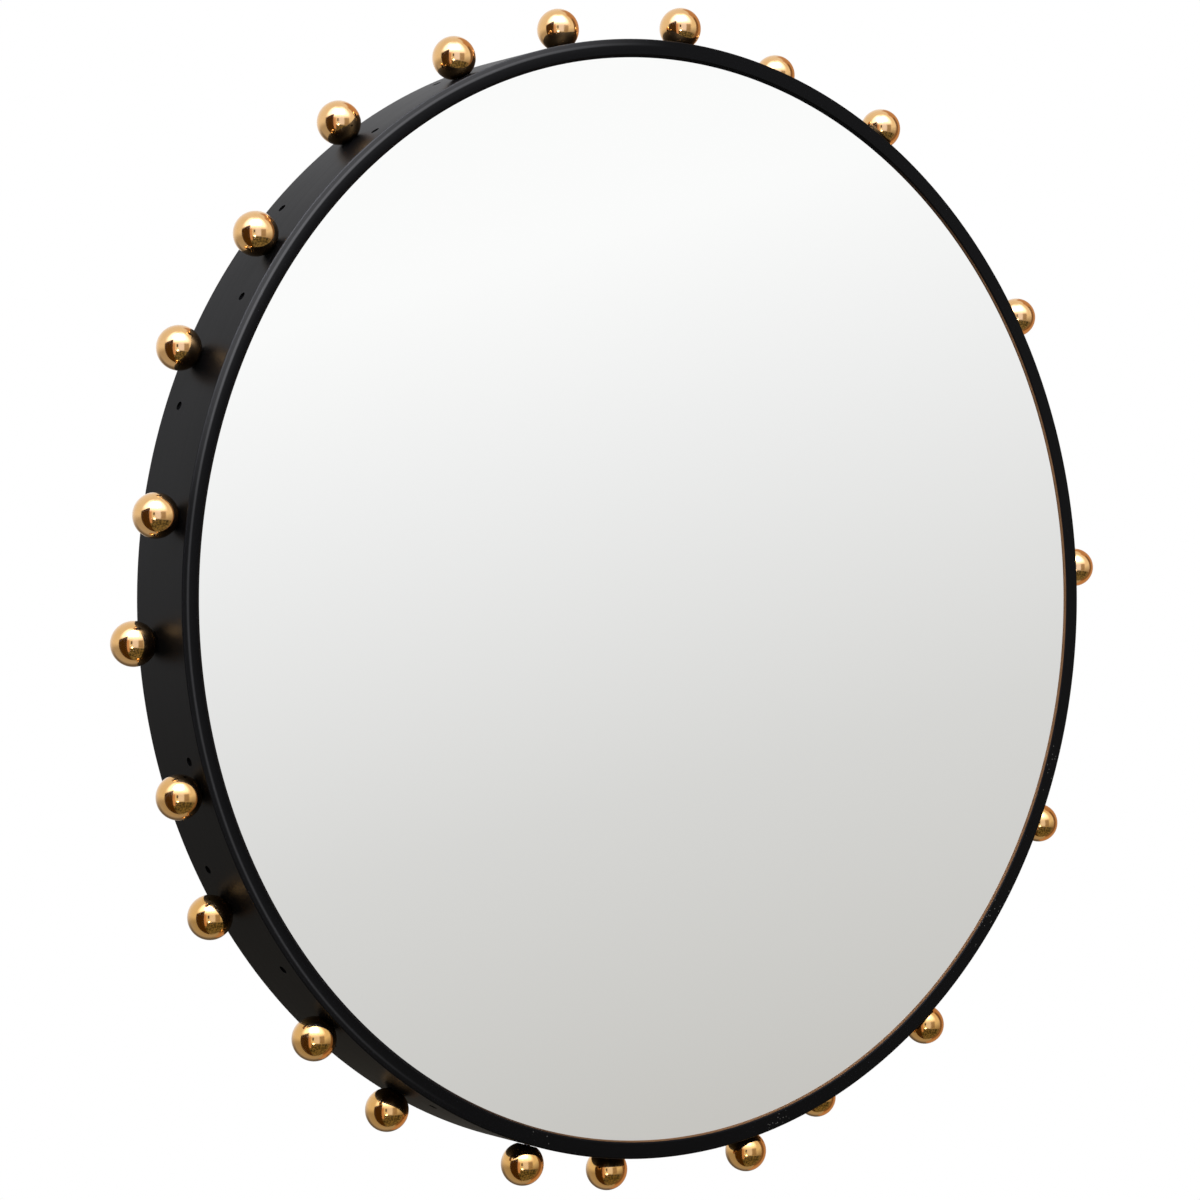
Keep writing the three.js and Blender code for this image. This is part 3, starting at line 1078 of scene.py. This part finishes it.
def room_light(world):
    """White to the camera and even light on matt surfaces. Reflections see a made-up room
    instead, fitted to what the photo's balls and glass show: pale walls that fade
    from high on the left to low on the right, bright windows above, a floor and a doorway."""
    stage = settings().stage
    s = Shading(world.node_tree)
    x, y, z = s.split(s.direction())

    # bearings in degrees to the right of the way from the mirror to the photographer
    towards = Vector((-math.sin(stage.heading), -math.cos(stage.heading)))
    ahead = towards.x * x + towards.y * y
    across = y * towards.x - x * towards.y
    bearing = s.math("ARCTAN2", across, ahead) * (180 / math.pi)
    height = s.math("ARCSINE", z) * (180 / math.pi)

    def window(left, right, bottom, top, soft):
        return s.inside(bearing, left, right, soft) * s.inside(height, bottom, top, soft)

    level = z - 0.231 * x - 0.168 * y
    walls = s.node(
        "ShaderNodeValToRGB",
        {
            "stops": [
                (0.1, (0.26, 0.2, 0.14)),
                (0.3, (0.4, 0.34, 0.27)),
                (0.42, (0.655, 0.645, 0.62)),
                (0.465, (0.755, 0.75, 0.735)),
                (0.525, (0.95, 0.95, 0.95)),
                (0.56, (1.07, 1.07, 1.07)),
                (0.9, (1.07, 1.06, 1.04)),
            ]
        },
        {0: level * 0.5 + 0.5},
    )
    backdrop = 1 - s.inside(bearing, -68, 100, 3)
    under = s.between(height, 6, -16)
    paper = s.blend(under, (1.0, 1.0, 1.02), (0.52, 0.5, 0.48))
    shadow = s.between(height, -6, -28) * s.between(ahead, -0.3, -0.7)
    paper = s.blend(shadow, paper, (0.16, 0.14, 0.11))
    paper = s.blend(window(100, 168, -60, 60, 4), paper, (0.62, 0.36, 0.19))
    paper = s.blend(window(100, 122, -60, 40, 4), paper, (0.25, 0.15, 0.08))
    room = s.blend(backdrop, walls, paper)

    clutter = s.between(s.noise(9.0, 3.0, vector=s.direction()), 0.35, 0.7)
    floor = s.blend(clutter, (0.04, 0.04, 0.02), (0.34, 0.3, 0.17))
    room = s.blend(s.inside(bearing, -24, 98, 3) * s.between(height, -17, -22), room, floor)
    room = s.blend(window(5, 34, -16, 25, 3), room, (1.1, 1.2, 1.75))
    room = s.blend(window(34, 60, -17, 18, 4) * 0.8, room, (0.34, 0.27, 0.22))
    room = s.blend(window(-24, -11, -38, 22, 2), room, (0.8, 0.5, 0.36))
    room = s.blend(window(-4, 4, -1, 14, 2), room, (0.05, 0.025, 0.01))
    room = s.blend(window(-2, 6, -20, -15, 1), room, (14.0, 14.0, 16.0))
    room = s.blend(window(-62, 66, 26, 74, 14), room, (2.6, 2.9, 4.2))
    room = s.blend(window(-30, 40, 42, 60, 12), room, (14.0, 14.5, 17.0))
    doorway = s.inside(bearing, -68, -23, 1.5) * s.between(height - bearing * 0.5, 48, 53, 1.0, 0.0)
    room = s.blend(doorway, room, (0.07, 0.035, 0.004))

    path = s.node("ShaderNodeLightPath").socket.node
    camera = Wire(s, path.outputs["Is Camera Ray"])
    glossy = Wire(s, path.outputs["Is Glossy Ray"])
    through = Wire(s, path.outputs["Is Transmission Ray"])
    colour = s.blend(s.math("MAXIMUM", glossy, through), (stage.ambient,) * 3, room)
    colour = s.blend(camera, colour, (1, 1, 1))
    s.output(s.node("ShaderNodeBackground", inputs={"Color": colour}), "ShaderNodeOutputWorld")


def area_lamp(name, direction, distance, size, power):
    """A rectangular lamp that faces the mirror and that only reflections show."""
    data = bpy.data.lights.new(name, "AREA")
    data.shape = "RECTANGLE"
    data.size, data.size_y = size
    data.energy = power
    lamp = bpy.data.objects.new(name, data)
    towards = Vector(direction).normalized()
    lamp.location = towards * distance
    lamp.rotation_euler = towards.to_track_quat("Z", "Y").to_euler()
    lamp.visible_camera = False
    bpy.context.scene.collection.objects.link(lamp)


class MIRROR_OT_stage(bpy.types.Operator):
    """Make the floor, the light and the camera"""

    bl_idname = "mirror.stage"
    bl_label = "Stage"

    def execute(self, context):
        scene = context.scene
        stage = settings().stage
        scene.view_settings.view_transform = "Standard"

        form = bmesh.new()
        place = Matrix.Translation((0, 0, -stage.floor_drop))
        bmesh.ops.create_circle(
            form, cap_ends=True, segments=96, radius=stage.floor_radius, matrix=place
        )
        mesh = bpy.data.meshes.new("studio_floor")
        form.to_mesh(mesh)
        form.free()
        mesh.materials.append(floor_paper())
        floor = bpy.data.objects.new("studio_floor", mesh)
        floor.visible_glossy = False
        scene.collection.objects.link(floor)

        scene.world = bpy.data.worlds.new("studio")
        scene.world.use_nodes = True
        room_light(scene.world)
        above_camera = (-0.345, -0.476, 0.809)
        area_lamp("softbox", above_camera, 2.5, (1.3, 0.87), stage.softbox)

        data = bpy.data.cameras.new("camera")
        data.lens = stage.lens
        data.sensor_width = 36
        camera = bpy.data.objects.new("camera", data)
        camera.location = stage.camera
        camera.rotation_euler = (math.pi / 2 + stage.tilt, 0, -stage.heading)
        scene.collection.objects.link(camera)
        scene.camera = camera
        return {"FINISHED"}


PIECES = (
    MIRROR_OT_stage,
    MIRROR_OT_hoop,
    MIRROR_OT_pane,
    MIRROR_OT_back,
    MIRROR_OT_balls,
    MIRROR_OT_screws,
    MIRROR_OT_hangers,
)


class MIRROR_PT_panel(bpy.types.Panel):
    """Sizes, colours and buttons"""

    bl_label = "Round mirror"
    bl_idname = "MIRROR_PT_panel"
    bl_space_type = "VIEW_3D"
    bl_region_type = "UI"
    bl_category = "Mirror"

    def draw(self, context):
        for name, group in GROUPS.items():
            box = self.layout.box()
            box.label(text=name.capitalize())
            for prop in group.__annotations__:
                box.prop(getattr(context.scene.ball_mirror, name), prop)
        for operator in PIECES:
            self.layout.operator(operator.bl_idname)


CLASSES = (*GROUPS.values(), MirrorSettings, *PIECES, MIRROR_PT_panel)


def register():
    for cls in CLASSES:
        bpy.utils.register_class(cls)
    bpy.types.Scene.ball_mirror = PointerProperty(type=MirrorSettings)


def unregister():
    del bpy.types.Scene.ball_mirror
    for cls in reversed(CLASSES):
        bpy.utils.unregister_class(cls)


def main():
    register()
    bpy.ops.mirror.stage()
    bpy.ops.mirror.hoop()
    bpy.ops.mirror.pane()
    bpy.ops.mirror.back()
    bpy.ops.mirror.balls()
    bpy.ops.mirror.screws()
    bpy.ops.mirror.hangers()


if __name__ == "__main__":
    main()
